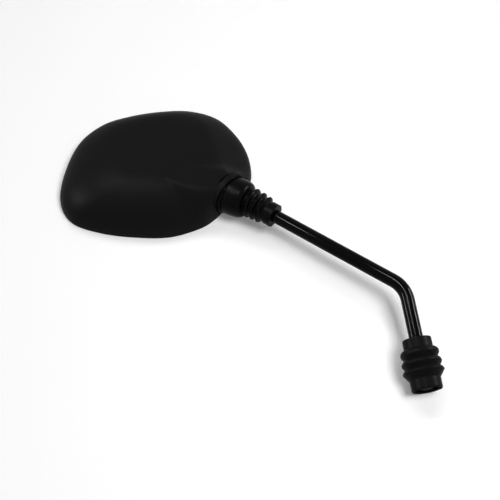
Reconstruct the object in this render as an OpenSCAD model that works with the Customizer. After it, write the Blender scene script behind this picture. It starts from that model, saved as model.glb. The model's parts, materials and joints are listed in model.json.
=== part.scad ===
// Motorcycle mirror: an oval head on a ball joint, a bent rod and a threaded base under a boot.
// Origin: middle of the stud, at the face where the adapter seats on the handlebar perch.
// +Z runs up the rod's lower leg, +X points outboard and +Y to the front of the motorcycle.
// The glass looks back along -Y, towards the rider. Lengths are millimetres.

/* [Rod] */
// Diameter of the rod
rod_d = 10; // [10:0.5:11.5]
// Height of the bend's corner above the adapter's seat
corner_h = 60.5; // [58:0.5:80]
// Radius of the bend on the rod's centre line
bend_r = 22; // [18:1:26]
// Swelling of the rod's radius through the bend
bend_swell = 0.04; // [0.02:0.01:0.1]
// Length from the bend's corner to the middle of the ball
arm_len = 169; // [130:1:200]
// Climb of the upper arm above level, degrees
arm_climb = 42.2; // [35:0.1:55]
// Sweep of the upper arm towards the rider, degrees
arm_sweep = 15.3; // [0:0.1:30]
// Diameter of the forged ball
ball_d = 15; // [14:0.5:16]
// Diameter of the thin neck next to the ball
ball_neck_d = 8; // [7:0.25:8.5]
// Length of the thin neck from the middle of the ball
ball_neck_len = 14; // [12:0.5:18]

/* [Thread and adapter] */
// Outer diameter of the thread
thread_d = 10; // [9:0.25:10]
// Rise of the thread in one turn
thread_pitch = 1.25; // [1:0.05:1.5]
// Length of the adapter's stud
stud_len = 14; // [11:0.5:16]
// Chamfer at the stud's tip and the rod's foot
tip_chamfer = 1; // [0.5:0.1:1.5]
// Width across the flats of the adapter
adapter_af = 14; // [13:0.5:14]
// Height of the adapter's hexagon
adapter_h = 9; // [8:0.5:12]
// Depth of the threaded hole in the adapter
adapter_hole = 7.2; // [5:0.2:7.4]

/* [Lock nut] */
// Width across the flats of the nut
nut_af = 14; // [13:0.5:14]
// Height of the nut
nut_h = 6; // [5:0.5:8]
// Turns that the nut can be slackened under the boot
nut_turns = 2; // [1:1:3]
// Outer diameter of the spring washer
washer_d = 15.4; // [14:0.2:16]
// Thickness of the spring washer
washer_t = 2; // [1.6:0.2:2.6]

/* [Base boot] */
// Diameter of the collar that grips the rod
base_collar_d = 20.5; // [19:0.5:22]
// Length of that collar
base_collar_h = 7.2; // [6:0.1:9]
// Thickness of the collar's top wall
base_top_t = 1.8; // [1.5:0.1:3]
// Number of bellows rings
base_rings = 3; // [2:1:4]
// Crest diameter of the first ring
base_ring_d = 27.2; // [25:0.1:29]
// Growth of the crest diameter from ring to ring
base_ring_grow = 1.1; // [0:0.1:1.5]
// Distance from ring to ring
base_ring_step = 6.6; // [5.5:0.1:7]
// Distance from the collar to the first crest
base_ring_lead = 3.4; // [3:0.1:5]
// Depth of the valleys between the rings
base_ring_depth = 2; // [1:0.1:2.2]
// Length of the cone below the last crest
base_cone_h = 5; // [4:0.1:6]
// Diameter of the plain skirt
base_skirt_d = 21.8; // [21.2:0.1:23]
// Sharpness of the crests, below 1 for round rings
base_ring_sharp = 0.6; // [0.3:0.1:1.2]
// Wall of the boot
base_wall = 1.5; // [1.2:0.1:1.6]

/* [Neck boot] */
// Diameter of the foot that sits in the housing's mouth
neck_foot_d = 31.2; // [28:0.2:31.4]
// Length of the foot
neck_foot_h = 2; // [1.5:0.1:3]
// Length of the foot's rim that stands out of the mouth
neck_rim_h = 1.8; // [1:0.1:2.5]
// Step from that rim down to the dome
neck_rim_step = 0.4; // [0.2:0.1:0.8]
// Length of the smooth dome in front of the mouth
neck_dome_h = 16; // [14:0.5:18]
// Fullness of the dome's end, 2 for an ellipse
neck_dome_full = 4; // [2:0.5:6]
// Number of bellows rings
neck_rings = 3; // [2:1:4]
// Distance from the dome's end to the first crest
neck_ring_lead = 4.2; // [3:0.1:5]
// Crest diameter of the first ring
neck_ring_d = 23.6; // [22:0.1:25]
// Loss of crest diameter from ring to ring
neck_ring_shrink = 0.9; // [0.3:0.1:1.2]
// Distance from ring to ring
neck_ring_step = 5.4; // [4.5:0.1:6.5]
// Depth of the valleys between the rings
neck_ring_depth = 2.4; // [1.5:0.1:2.6]
// Sharpness of the crests, below 1 for round rings
neck_ring_sharp = 1.2; // [0.4:0.1:1.5]
// Diameter of the collar that grips the rod
neck_collar_d = 18; // [17:0.2:20]
// Length of that collar
neck_collar_h = 5.8; // [4:0.2:8]
// Bow of the boot away from the side that it leans to
neck_bow = 1.4; // [0:0.1:2]
// Wall of the boot
neck_wall = 1.3; // [1:0.1:1.5]

/* [Head] */
// Width of the housing
head_w = 152.6; // [140:0.2:170]
// Height of the housing
head_h = 117.7; // [109:0.1:128]
// Depth of the housing from the rim to the crown
head_depth = 37; // [35:0.5:42]
// Wall of the housing
wall = 2.5; // [2:0.1:2.8]
// Pitch of the head: the glass looks down by this many degrees
head_pitch = 11.1; // [0:0.1:15]
// Direction of the socket below the head's level line, degrees
socket_angle = 50; // [48:0.5:55]
// Slope of the broad upper face of the back, rise over run
face_slope = 0.2; // [0.1:0.01:0.25]
// Softness of the crease round that face
crease_soft = 0.9; // [0.5:0.1:2]
// Fullness of the back's round sides, 2 for an ellipse
side_fullness = 2.1; // [2:0.05:2.5]
// Fullness of the hump above the neck
neck_fullness = 14; // [10:0.5:18]
// Half-width of the hump above the neck, degrees round the crown
neck_spread = 17; // [14:1:22]

/* [Ball joint] */
// Distance from the middle of the ball to the front of the mouth
mouth_reach = 15.5; // [15:0.5:17]
// Wall of the lip round the mouth
lip_wall = 1.7; // [1.2:0.1:2]
// Wall across the neck behind the foot of the boot
neck_plate_t = 1.6; // [1.2:0.1:2]
// Width of the ledge that the foot of the boot stands on
foot_ledge = 5; // [4:0.1:5.5]
// Room round the rod's neck where it leaves the seat
throat_room = 3.2; // [2.5:0.1:3.4]
// Wall of the seat and the cup round the ball
cup_wall = 2; // [1.6:0.1:2.2]
// Wall of the socket tube
tube_wall = 1.6; // [1.4:0.1:2]
// Wire diameter of the joint's spring
spring_wire = 1.5; // [1.2:0.1:1.7]
// Compressed length of that spring
spring_len = 5.6; // [5:0.1:7]
// Turns of that spring
spring_turns = 2.75; // [2:0.25:3]
// Thickness of the clamp plate
clamp_t = 2; // [1.5:0.1:3]
// Thread diameter of the screws in the head
screw_d = 3.4; // [3:0.1:3.6]
// Head diameter of the screws in the head
screw_head_d = 6.8; // [6:0.1:7]
// Thread length of the screws in the head
screw_len = 8; // [6:0.5:10]
// Wall of the screw bosses
boss_wall = 1.9; // [1.6:0.1:2.4]

/* [Glass] */
// Thickness of the glass
glass_t = 2; // [1.6:0.1:3]
// Radius of the convex glass
glass_radius = 1200; // [900:50:2000]
// Gap between the glass and the housing's wall
glass_gap = 0.5; // [0.3:0.1:1]
// Depth of the glass below the rim at its middle
glass_recess = 0.4; // [0.2:0.1:1]
// Thickness of the foam pad behind the glass
pad_t = 0.8; // [0.6:0.1:1.2]
// Margin of the pad inside the glass's edge
pad_margin = 3; // [2:0.5:6]
// Thickness of the carrier plate
carrier_t = 2.2; // [1.8:0.1:3]
// Margin of the carrier inside the housing's wall
carrier_margin = 1.2; // [1:0.1:3]

/* [Hidden] */
$fn = 64;

// Clearances
fit = 0.05;
slip = 0.1;
play = 0.3;
margin = 1;
bite = 0.8;

// Rod
turn_deg = 90 - arm_climb;
bend_tangent = bend_r * tan(turn_deg / 2);
bend_start = corner_h - bend_tangent;
bend_lap = 0.5;
arm_dir = [cos(arm_climb) * cos(arm_sweep), -cos(arm_climb) * sin(arm_sweep), sin(arm_climb)];
ball = [0, 0, corner_h] + arm_len * arm_dir;
rod_dir = -arm_dir;

// Base, from the seat upwards
adapter_floor = adapter_h - adapter_hole;
rod_foot = adapter_floor + play;
washer_z = adapter_h;
nut_z = washer_z + washer_t;
nut_lift = nut_turns * thread_pitch;
hex_round = 2 / sqrt(3);
bevel = 0.6;
seat_ring_h = 0.6;
split_gap = 1.2;
split_lean = 25;

// Base boot, from its top downwards
base_top = nut_z + nut_h + nut_lift + play + base_top_t;
base_mouth = -stud_len - margin;
base_crest_1 = base_collar_h + base_ring_lead;
base_crest_n = base_crest_1 + (base_rings - 1) * base_ring_step;
base_skirt_top = base_crest_n + base_cone_h;
base_len = base_top - base_mouth;
ring_steps = 8;
edge_round = 0.8;

// Head
unit_percent = 0.01;
socket_flat = [-cos(socket_angle), -sin(socket_angle)];
socket_dir = [socket_flat.x, -socket_flat.y * sin(head_pitch), socket_flat.y * cos(head_pitch)];
mouth = mouth_reach * socket_flat;
seat_r = ball_d / 2 + cup_wall;
tube_r = seat_r + slip + tube_wall;
stack_t = glass_recess + glass_t + pad_t + carrier_t;
sag_at_ball = 1.6;
rim_y = -(tube_r + play + stack_t + sag_at_ball);

// Rim outline: percent of the width and height, from the middle of the mouth
rim_shape = [[-13.4, 18.9], [-14.3, 36.4], [-10.3, 54.3], [-1.7, 70.6], [12.6, 79.6], [28.9, 82.2],
             [45.5, 81.3], [60.4, 76.8], [73.4, 64.2], [81.9, 42.8], [85.5, 20.7], [80.5, 3.5],
             [66.9, -7.2], [50.3, -14], [32.8, -17.6], [17.4, -14.4], [8.9, -9], [0.3, 0.6],
             [-8.2, 10.1]];
// Crown of the back, in the same measure
crown_shape = [34, 15.1];
rim_steps = 5;
crown_steps = 10;

// Mouth and neck
foot_floor = mouth_reach - neck_foot_h;
neck_back = foot_floor - neck_plate_t;
mouth_r = neck_foot_d / 2 + play;
lip_r = mouth_r + lip_wall;
throat_r = ball_neck_d / 2 + throat_room;
throat_end_r = mouth_r - foot_ledge;

// Ball joint, along the socket's axis from the ball's centre
seat_back = 1.2;
seat_land = 0.56 * ball_d / 2;
seat_front = seat_land + 1;
cup_front = -1;
cup_back = -(ball_d / 2 + 0.3);
pilot_h = 1.8;
spring_r = seat_r - spring_wire / 2 - 1.6;
clamp_z = cup_back - spring_len;
ear_reach = tube_r + screw_d / 2 + 0.9;
boss_r = screw_d / 2 + boss_wall;
boss_h = screw_len + margin;
head_h_pan = 2.2;
spring_sides = 8;
spring_arc = 24;

// Glass
glass_y = rim_y + glass_recess;
dish_steps = 8;

// Carrier screws, in percent like the rim
carrier_spots = [[24, 60], [60, 34], [36, 8]];
sink_h = 1.7;

// Neck boot, as distances from the ball's centre
neck_dome_end = mouth_reach + neck_dome_h;
neck_crest_1 = neck_dome_end + neck_ring_lead;
neck_crest_n = neck_crest_1 + (neck_rings - 1) * neck_ring_step;
neck_collar_at = neck_crest_n + 0.85 * neck_ring_step;
neck_sides = 32;
dome_steps = 8;

// Small helpers
function mix(a, b, t) = a + (b - a) * t;
function unit(v) = v / norm(v);
function ease(t) = t * t * (3 - 2 * t);
function soft_min(a, b, k) = min(a, b) - k * ln(1 + exp(-abs(a - b) / k));
function flip(list) = [for (i = [len(list) - 1 : -1 : 0]) list[i]];
function lap(i, n) = (i + n) % n;

// Height of a bellows ring, 1 on the crest and 0 in the valley, at t steps from the crest
function crest(t, sharpness) = pow((1 + cos(360 * t)) / 2, sharpness);

// Outline of a run of bellows rings, as [distance, radius] from the first crest to the last
function ring_run(count, step, first_r, grow_r, depth, sharpness) =
    [for (i = [0 : (count - 1) * ring_steps])
        let (t = i / ring_steps)
        [t * step, first_r + grow_r * t - depth * (1 - crest(t, sharpness))]];

// Closed smooth curve through a ring of points
function loop_point(p, i, s) =
    let (n = len(p), a = p[lap(i - 1, n)], b = p[i], c = p[lap(i + 1, n)], d = p[lap(i + 2, n)])
    (2 * b + (c - a) * s + (2 * a - 5 * b + 4 * c - d) * s * s + (3 * b - a - 3 * c + d) * s * s * s) / 2;

// Moves each point of a clockwise outline inwards by d
function inset(p, d) =
    [for (i = [0 : len(p) - 1])
        let (along = unit(p[lap(i + 1, len(p))] - p[lap(i - 1, len(p))]))
        p[i] + d * [along.y, -along.x]];

// Holds an outline back from the mouth, so that it ends at the neck plate
function trim(p, limit) = [for (q = p) q - max(0, q * socket_flat - limit) * socket_flat];

function place(shape) = mouth + [shape.x * head_w, shape.y * head_h] * unit_percent;

rim_knots = [for (q = rim_shape) place(q)];
rim = [for (i = [0 : len(rim_knots) - 1]) for (s = [0 : rim_steps - 1])
    loop_point(rim_knots, i, s / rim_steps)];
crown = place(crown_shape);
rim_n = len(rim);

// How full the back is in one direction from the crown
function off_neck(d) = acos(max(-1, min(1, unit(d) * unit(mouth - crown))));
function fullness(d) =
    mix(side_fullness, neck_fullness, exp(-pow(off_neck(d) / neck_spread, 2)));

// The broad upper face, as a height above the rim plane
function face_height(q) = head_depth - 0.3 - face_slope * (q.y - crown.y);

// Height of the back above the rim plane, from the height of its round form there
function back_height(q, round_h, skin) = soft_min(round_h, face_height(q) - skin, crease_soft);

// One point of the back: rim point a, angle from the rim to the crown, and depth below the skin
function back_point(a, angle, skin) =
    let (d = a - crown, p = 2 / fullness(d), q = crown + d * pow(cos(angle), p))
    [q.x, rim_y + back_height(q, (head_depth - skin) * pow(sin(angle), p), skin), q.y];

// Position of the back's skin behind any point inside the rim
rim_reach = [for (turn = [-360, 0, 360]) for (q = rim)
    [atan2(q.y - crown.y, q.x - crown.x) + turn, norm(q - crown)]];
function skin_y(q) =
    let (d = q - crown, n = fullness(d), f = norm(d) / lookup(atan2(d.y, d.x), rim_reach))
    rim_y + back_height(q, head_depth * pow(1 - pow(f, n), 1 / n), 0);

// Depth of a point of the dished glass, pad or carrier behind the middle of its front
function sag(q) = glass_radius - sqrt(pow(glass_radius, 2) - pow(norm(q - crown), 2));
edge_sag = max([for (q = rim) sag(q)]);

// Outline of the housing's inside wall at a height above the rim plane
function inside_outline(h) =
    [for (a = inset(rim, wall))
        let (d = a - crown, n = fullness(d))
        crown + d * pow(1 - pow(h / (head_depth - wall), n), 1 / n)];

// Outline of a layer behind the glass: its back lies at a height, its edge this far inside the wall
function layer_outline(back, room, limit) =
    trim(inset(inside_outline(back + edge_sag), room), limit);

// Places children in the frame of the upper arm: +Z runs along it from the bend's corner
module arm_frame() {
    translate([0, 0, corner_h])
        rotate([0, 0, -arm_sweep])
            rotate([0, turn_deg, 0])
                children();
}

// Places children in the head's frame: the ball's centre, with the rim square to Y
module head_frame() {
    translate(ball)
        rotate([head_pitch, 0, 0])
            children();
}

// Places children in the socket's frame: +Z runs out of the mouth
module socket_frame() {
    head_frame()
        rotate([0, -90 - socket_angle, 0])
            children();
}

// Hexagon with bevelled corners at both ends
module hexagon(af, h) {
    corner_r = af * hex_round / 2;
    intersection() {
        cylinder(r = corner_r, h = h, $fn = 6);
        union() {
            translate([0, 0, bevel])
                cylinder(r = corner_r, h = h - 2 * bevel);
            cylinder(r1 = af / 2, r2 = corner_r, h = bevel);
            translate([0, 0, h - bevel])
                cylinder(r1 = corner_r, r2 = af / 2, h = bevel);
        }
    }
}

// Closed skin of rings of points, joined round and from the last ring back to the first
module ring_solid(rings) {
    n = len(rings[0]);
    m = len(rings);
    points = [for (r = rings) for (q = r) q];
    faces = [for (j = [0 : m - 1]) for (i = [0 : n - 1])
        let (k = lap(i + 1, n), l = lap(j + 1, m))
        for (f = [[j * n + i, l * n + i, l * n + k], [j * n + i, l * n + k, j * n + k]]) f];
    polyhedron(points, faces);
}

// Hexagonal adapter: threaded stud below, threaded hole above
module adapter() {
    color("dimgray")
    difference() {
        union() {
            translate([0, 0, seat_ring_h])
                hexagon(adapter_af, adapter_h - seat_ring_h);
            cylinder(d = adapter_af - 2 * bevel, h = seat_ring_h + bevel);
            translate([0, 0, tip_chamfer - stud_len])
                cylinder(d = thread_d, h = stud_len - tip_chamfer + bevel);
            translate([0, 0, -stud_len])
                cylinder(d1 = thread_d - 2 * tip_chamfer, d2 = thread_d, h = tip_chamfer);
        }
        translate([0, 0, adapter_floor])
            cylinder(d = thread_d + 2 * fit, h = adapter_hole + margin);
    }
}

// Bent rod with its threaded foot and its forged ball
module rod() {
    thread_top = nut_z + nut_h + nut_lift;
    arm_straight = arm_len - ball_neck_len - rod_d / 2;
    color([0.08, 0.08, 0.08])
    union() {
        translate([0, 0, rod_foot])
            cylinder(d1 = thread_d - 2 * tip_chamfer, d2 = thread_d, h = tip_chamfer);
        translate([0, 0, rod_foot + tip_chamfer])
            cylinder(d = thread_d, h = thread_top - rod_foot - tip_chamfer);
        translate([0, 0, thread_top])
            cylinder(d = rod_d, h = bend_start + bend_lap - thread_top);
        rotate([0, 0, -arm_sweep])
            translate([bend_r, 0, bend_start])
                rotate([90, 0, 0])
                    rotate([0, 0, 180 - turn_deg])
                        rotate_extrude(angle = turn_deg)
                            translate([bend_r, 0])
                                circle(r = rod_d / 2 + bend_swell);
        arm_frame() {
            translate([0, 0, bend_tangent - bend_lap])
                cylinder(d = rod_d, h = arm_straight + bend_lap - bend_tangent);
            translate([0, 0, arm_straight])
                cylinder(d1 = rod_d, d2 = ball_neck_d, h = rod_d / 2);
            translate([0, 0, arm_len - ball_neck_len])
                cylinder(d = ball_neck_d, h = ball_neck_len);
            translate([0, 0, arm_len])
                sphere(d = ball_d);
        }
    }
}

// Spring washer with a slanted split
module lock_washer() {
    color("silver")
    translate([0, 0, washer_z])
        difference() {
            cylinder(d = washer_d, h = washer_t);
            translate([0, 0, -margin])
                cylinder(d = thread_d + 2 * slip, h = washer_t + 2 * margin);
            translate([washer_d / 2, 0, washer_t / 2])
                rotate([split_lean, 0, 0])
                    cube([washer_d, split_gap, 3 * washer_t], center = true);
        }
}

// Thin nut that locks the rod to the adapter
module lock_nut() {
    color("dimgray")
    translate([0, 0, nut_z])
        difference() {
            hexagon(nut_af, nut_h);
            translate([0, 0, -margin])
                cylinder(d = thread_d + 2 * fit, h = nut_h + 2 * margin);
        }
}

// Rubber boot over the nut and the adapter, turned about the rod's lower leg
module base_boot() {
    collar_r = base_collar_d / 2;
    skirt_r = base_skirt_d / 2;
    bore_r = rod_d / 2 + fit;
    rings = ring_run(base_rings, base_ring_step, base_ring_d / 2, base_ring_grow / 2, base_ring_depth,
                     base_ring_sharp);
    lead = [for (i = [0 : 4])
        [base_ring_lead * (1 - cos(90 * i / 5)), mix(collar_r, base_ring_d / 2, sin(90 * i / 5))]];
    body = concat([for (q = lead) [q.y, base_top - base_collar_h - q.x]],
                  [for (q = rings) [q.y, base_top - base_crest_1 - q.x]]);
    outside = concat(
        [[bore_r, base_top], [collar_r - edge_round, base_top], [collar_r, base_top - edge_round]],
        body,
        [[skirt_r, base_top - base_skirt_top], [skirt_r, base_mouth + edge_round],
         [skirt_r - edge_round, base_mouth]]);
    inside = concat(
        [[skirt_r - base_wall - edge_round / 4, base_mouth],
         [skirt_r - base_wall - edge_round / 4, base_top - base_skirt_top]],
        flip([for (q = body) [q.x - base_wall, q.y]]),
        [[collar_r - base_wall, base_top - base_top_t], [bore_r, base_top - base_top_t]]);
    color([0.12, 0.12, 0.13])
    rotate_extrude()
        polygon(concat(outside, inside));
}

// Middle of the neck boot at a distance from the ball: it leaves the mouth along the socket's
// axis and ends along the rod's
function neck_span() = neck_collar_at - foot_floor;
function neck_t(distance) = (distance - foot_floor) / neck_span();
function neck_middle(distance) =
    let (t = neck_t(distance), u = t * t, v = u * t)
    ball + (2 * v - 3 * u + 1) * socket_dir * foot_floor + (v - 2 * u + t) * socket_dir * neck_span()
    + (3 * u - 2 * v) * rod_dir * neck_collar_at + (v - u) * rod_dir * neck_span()
    - neck_bow * sin(180 * max(0, min(1, t))) * cross(rod_dir, neck_across);
function neck_heading(distance) = unit(mix(socket_dir, rod_dir, ease(max(0, min(1, neck_t(distance))))));
neck_across = unit(cross(socket_dir, rod_dir));

// One ring of points of the neck boot
function neck_ring(distance, r) =
    let (middle = neck_middle(distance), up = cross(neck_heading(distance), neck_across))
    [for (i = [0 : neck_sides - 1])
        let (angle = 360 * i / neck_sides)
        middle + r * (cos(angle) * neck_across + sin(angle) * up)];

// Rubber boot over the ball joint: a foot in the mouth, a dome, rings and a collar on the rod
module neck_boot() {
    foot_r = neck_foot_d / 2;
    dome_r = foot_r - neck_rim_step;
    dome_end_r = neck_ring_d / 2 - neck_ring_depth;
    last_r = (neck_ring_d - neck_ring_shrink * (neck_rings - 0.5)) / 2 - neck_ring_depth;
    rings = ring_run(neck_rings, neck_ring_step, neck_ring_d / 2, -neck_ring_shrink / 2,
                     neck_ring_depth, neck_ring_sharp);
    dome = [for (i = [0 : dome_steps])
        let (t = sin(90 * i / dome_steps))
        [mix(foot_floor + bite, neck_dome_end, t),
         mix(dome_end_r, dome_r, pow(1 - pow(t, neck_dome_full), 1 / neck_dome_full))]];
    rise = [for (t = [-1 / 2, -1 / 4])
        [t * neck_ring_step, neck_ring_d / 2 - neck_ring_depth * (1 - crest(t, neck_ring_sharp))]];
    fall = [for (t = [1 / 4, 1 / 2])
        [t * neck_ring_step, mix(last_r, rings[len(rings) - 1].y, crest(t, neck_ring_sharp))]];
    outside = concat(dome,
                     [for (q = concat(rise, rings)) [neck_crest_1 + q.x, q.y]],
                     [for (q = fall) [neck_crest_n + q.x, q.y]],
                     [[neck_collar_at + bite, last_r]]);
    inside = flip([for (q = outside) [q.x, q.y - neck_wall]]);
    color([0.06, 0.06, 0.06])
    union() {
        ring_solid([for (q = concat(outside, inside)) neck_ring(q.x, q.y)]);
        arm_frame()
            translate([0, 0, arm_len - neck_collar_at - neck_collar_h])
                difference() {
                    cylinder(d = neck_collar_d, h = neck_collar_h);
                    translate([0, 0, -margin])
                        cylinder(d = rod_d + 2 * fit, h = neck_collar_h + 2 * margin);
                }
        socket_frame()
            translate([0, 0, foot_floor + fit])
                difference() {
                    cylinder(r = foot_r, h = neck_foot_h + neck_rim_h - fit);
                    translate([0, 0, -margin])
                        cylinder(r = foot_r - 2 * neck_wall, h = neck_foot_h + neck_rim_h + 2 * margin);
                }
    }
}

// Plastic ring that holds the ball in from the mouth's side
module ball_seat() {
    color("ivory")
    socket_frame()
        difference() {
            translate([0, 0, seat_back])
                cylinder(r = seat_r, h = seat_front - seat_back);
            sphere(d = ball_d + 2 * fit);
            translate([0, 0, seat_land])
                cylinder(r1 = sqrt(pow(ball_d / 2, 2) - pow(seat_land, 2)), r2 = throat_r, h = 1 + fit);
        }
}

// Plastic cup that the spring presses on the ball
module pressure_cup() {
    color("ivory")
    socket_frame()
        difference() {
            union() {
                translate([0, 0, cup_back])
                    cylinder(r = seat_r, h = cup_front - cup_back);
                translate([0, 0, cup_back - pilot_h])
                    cylinder(r = spring_r - spring_wire / 2 - play, h = pilot_h + margin);
            }
            sphere(d = ball_d + 2 * fit);
        }
}

// Coil spring with closed ends, between the cup and the clamp plate
module joint_spring() {
    count = round(spring_turns * spring_arc);
    start = clamp_z + spring_wire / 2;
    climb = spring_len - spring_wire;
    tube = [for (i = [0 : count])
        let (angle = 360 * i / spring_arc, t = max(0, min(1, mix(-0.12, 1.12, i / count))))
        [for (k = [0 : spring_sides - 1])
            let (a = -360 * k / spring_sides, r = spring_r + spring_wire / 2 * cos(a))
            [r * cos(angle), r * sin(angle), start + climb * t + spring_wire / 2 * sin(a)]]];
    points = [for (r = tube) for (q = r) q];
    n = spring_sides;
    sides = [for (j = [0 : count - 1]) for (i = [0 : n - 1])
        let (k = lap(i + 1, n))
        for (f = [[j * n + i, (j + 1) * n + i, (j + 1) * n + k], [j * n + i, (j + 1) * n + k, j * n + k]]) f];
    ends = [[for (i = [0 : n - 1]) i], [for (i = [n - 1 : -1 : 0]) count * n + i]];
    color("silver")
    socket_frame()
        polyhedron(points, concat(sides, ends));
}

// Steel plate that closes the socket, with an ear for a screw on each side
module clamp_plate() {
    color("silver")
    socket_frame()
        translate([0, 0, clamp_z - clamp_t])
            difference() {
                union() {
                    cylinder(r = tube_r - play, h = clamp_t);
                    translate([-ear_reach, -boss_r, 0])
                        cube([2 * ear_reach, 2 * boss_r, clamp_t]);
                    for (side = [-1, 1])
                        translate([side * ear_reach, 0, 0])
                            cylinder(r = boss_r, h = clamp_t);
                }
                for (side = [-1, 1])
                    translate([side * ear_reach, 0, -margin])
                        cylinder(d = screw_d + 2 * play, h = clamp_t + 2 * margin);
            }
}

// Two pan-head screws through the clamp plate
module clamp_screws() {
    color("silver")
    socket_frame()
        for (side = [-1, 1])
            translate([side * ear_reach, 0, clamp_z - clamp_t - head_h_pan]) {
                cylinder(d1 = screw_head_d - 2, d2 = screw_head_d, h = head_h_pan / 3);
                translate([0, 0, head_h_pan / 3])
                    cylinder(d = screw_head_d, h = head_h_pan * 2 / 3);
                translate([0, 0, head_h_pan])
                    cylinder(d = screw_d, h = clamp_t + screw_len);
            }
}

// Thin moulded back with its rim, as one skin outside and one inside
module back_shell() {
    inner = inset(rim, wall);
    steps = [for (j = [0 : crown_steps - 1]) 90 * j / crown_steps];
    outer_rings = [for (angle = steps) [for (a = rim) back_point(a, angle, 0)]];
    inner_rings = [for (angle = steps) [for (a = inner) back_point(a, angle, wall)]];
    tops = [back_point(rim[0], 90, 0), back_point(inner[0], 90, wall)];
    n = rim_n;
    half = n * crown_steps;
    last = n * (crown_steps - 1);
    points = concat([for (r = outer_rings) for (q = r) q], [for (r = inner_rings) for (q = r) q], tops);
    bands = [for (j = [0 : crown_steps - 2]) for (i = [0 : n - 1])
        let (k = lap(i + 1, n), o = j * n, u = o + n)
        for (f = [[o + i, u + i, u + k], [o + i, u + k, o + k],
                  [half + o + i, half + u + k, half + u + i], [half + o + i, half + o + k, half + u + k]]) f];
    caps = [for (i = [0 : n - 1])
        let (k = lap(i + 1, n))
        for (f = [[last + i, 2 * half, last + k], [half + last + i, half + last + k, 2 * half + 1],
                  [i, k, half + k], [i, half + k, half + i]]) f];
    polyhedron(points, concat(bands, caps));
}

// Socket tube, neck plate and lip, turned about the socket's axis
module socket_tube() {
    rotate_extrude()
        polygon([[seat_r + slip, clamp_z], [tube_r, clamp_z], [tube_r, neck_back], [lip_r, neck_back],
                 [lip_r, mouth_reach - lip_wall / 3], [lip_r - lip_wall / 3, mouth_reach],
                 [mouth_r, mouth_reach], [mouth_r, foot_floor], [throat_end_r, foot_floor],
                 [throat_r, seat_front], [seat_r + slip, seat_front]]);
}

// Moulded housing: the back, the socket and the screw bosses in one piece
module housing() {
    color([0.16, 0.16, 0.17])
    difference() {
        union() {
            difference() {
                head_frame()
                    back_shell();
                socket_frame() {
                    translate([0, 0, seat_front])
                        cylinder(r1 = throat_r + play, r2 = throat_end_r + play, h = foot_floor - seat_front);
                    translate([0, 0, neck_back + bite])
                        cylinder(r = mouth_r, h = 3 * neck_foot_h + neck_plate_t + bite);
                }
            }
            socket_frame() {
                socket_tube();
                for (side = [-1, 1])
                    translate([side * ear_reach, 0, clamp_z])
                        difference() {
                            cylinder(r = boss_r, h = boss_h);
                            translate([-side * ear_reach, 0, -margin])
                                cylinder(r = seat_r + tube_wall / 2, h = boss_h + 2 * margin);
                        }
            }
            head_frame()
                for (spot = carrier_spots)
                    carrier_boss(place(spot));
        }
        socket_frame()
            for (side = [-1, 1])
                translate([side * ear_reach, 0, clamp_z - margin])
                    cylinder(d = screw_d + 2 * fit, h = screw_len + play + margin);
    }
}

// Boss from the carrier's back to the inside of the skin, with its screw hole
module carrier_boss(q) {
    foot = glass_y + glass_t + pad_t + carrier_t + sag(q) + play;
    low = min([for (k = [0 : 7]) skin_y(q + boss_r * [cos(45 * k), sin(45 * k)])]);
    top = min(low, skin_y(q)) - wall / 3;
    translate([q.x, top, q.y])
        rotate([90, 0, 0])
            difference() {
                cylinder(r = boss_r, h = top - foot);
                translate([0, 0, top - foot - screw_len])
                    cylinder(d = screw_d + 2 * fit, h = screw_len + margin);
            }
}

// Slice of the dished stack behind the glass: from depth a to depth b, inside an outline
module dish(outline, a, b) {
    reach = head_w;
    front = [for (i = [0 : dish_steps])
        let (r = reach * i / dish_steps)
        [r, -a - glass_radius + sqrt(pow(glass_radius, 2) - r * r)]];
    intersection() {
        translate([crown.x, glass_y, crown.y])
            rotate([90, 0, 0])
                rotate_extrude($fn = 128)
                    polygon(concat(front, flip([for (q = front) [q.x, q.y - (b - a)]])));
        translate([0, glass_y + b + reach / 4, 0])
            rotate([90, 0, 0])
                linear_extrude(reach)
                    polygon(outline);
    }
}

// Plate that carries the glass, with countersunk holes and room for the socket tube
module carrier() {
    front = glass_t + pad_t;
    color([0.1, 0.1, 0.1])
    difference() {
        head_frame()
            dish(layer_outline(stack_t, carrier_margin + play, neck_back - play), front, front + carrier_t);
        head_frame()
            for (spot = carrier_spots)
                carrier_screw(place(spot), play);
        socket_frame()
            translate([0, 0, clamp_z - clamp_t])
                cylinder(r = tube_r + play, h = neck_back - clamp_z + clamp_t + margin);
    }
}

// Countersunk screw at q, or its hole when it is grown by some room
module carrier_screw(q, room) {
    front = glass_y + glass_t + pad_t + sag(q);
    translate([q.x, front, q.y])
        rotate([-90, 0, 0]) {
            translate([0, 0, play - room])
                cylinder(d1 = screw_head_d + 2 * room, d2 = screw_d + 2 * room, h = sink_h);
            translate([0, 0, play])
                cylinder(d = screw_d + 2 * room, h = screw_len + carrier_t - margin);
            if (room > 0)
                translate([0, 0, -margin])
                    cylinder(d = screw_head_d + 2 * room, h = margin + play - room);
        }
}

// Three countersunk screws that hold the carrier to the housing
module carrier_screws() {
    color("silver")
    head_frame()
        for (spot = carrier_spots)
            carrier_screw(place(spot), 0);
}

// Foam pad that holds the glass to the carrier
module glass_pad() {
    color([0.2, 0.2, 0.2])
    head_frame()
        dish(layer_outline(glass_recess + glass_t, glass_gap + pad_margin, neck_back - pad_margin),
             glass_t, glass_t + pad_t);
}

// Convex mirror glass
module glass() {
    color([0.75, 0.8, 0.85])
    head_frame()
        dish(layer_outline(glass_recess + glass_t, glass_gap, neck_back - play), 0, glass_t);
}

adapter();
rod();
lock_washer();
lock_nut();
base_boot();
neck_boot();
ball_seat();
pressure_cup();
joint_spring();
clamp_plate();
clamp_screws();
housing();
carrier();
carrier_screws();
glass_pad();
glass();
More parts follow.
